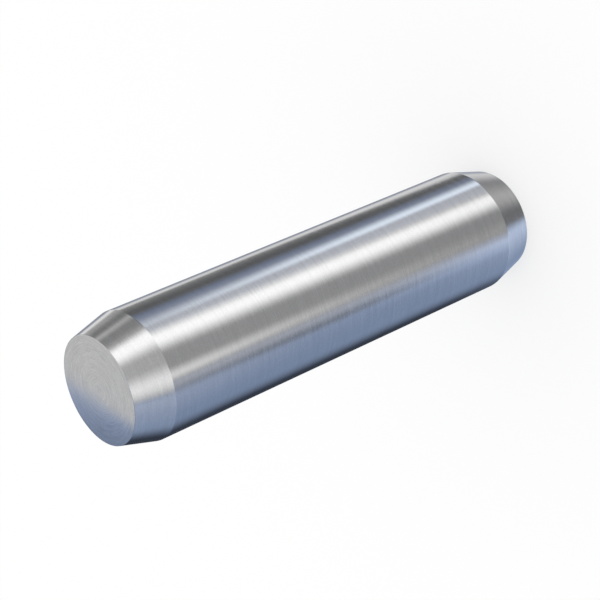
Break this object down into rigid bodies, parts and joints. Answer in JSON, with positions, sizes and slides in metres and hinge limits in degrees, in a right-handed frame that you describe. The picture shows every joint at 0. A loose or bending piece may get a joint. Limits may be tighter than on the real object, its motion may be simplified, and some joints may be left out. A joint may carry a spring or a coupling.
{
  "type": "cylindrical pin",
  "caption": "Solid round steel pin with a parallel shank and a slim cone turned on each end, for locating or joining parts in drilled holes.",
  "frame": {"origin": "middle of the lower end face, on which the pin stands", "axes": "+Z along the pin's axis, up to the other end face; the pin is round, so X and Y are free"},
  "size_m": [0.01, 0.01, 0.04],
  "materials": {
    "turned_steel": "fine-turned bright steel, with fine rings round the shank and the cones and facing rings on the end faces"
  },
  "bodies": {
    "root": {"pin": "turned_steel"}
  },
  "joints": []
}
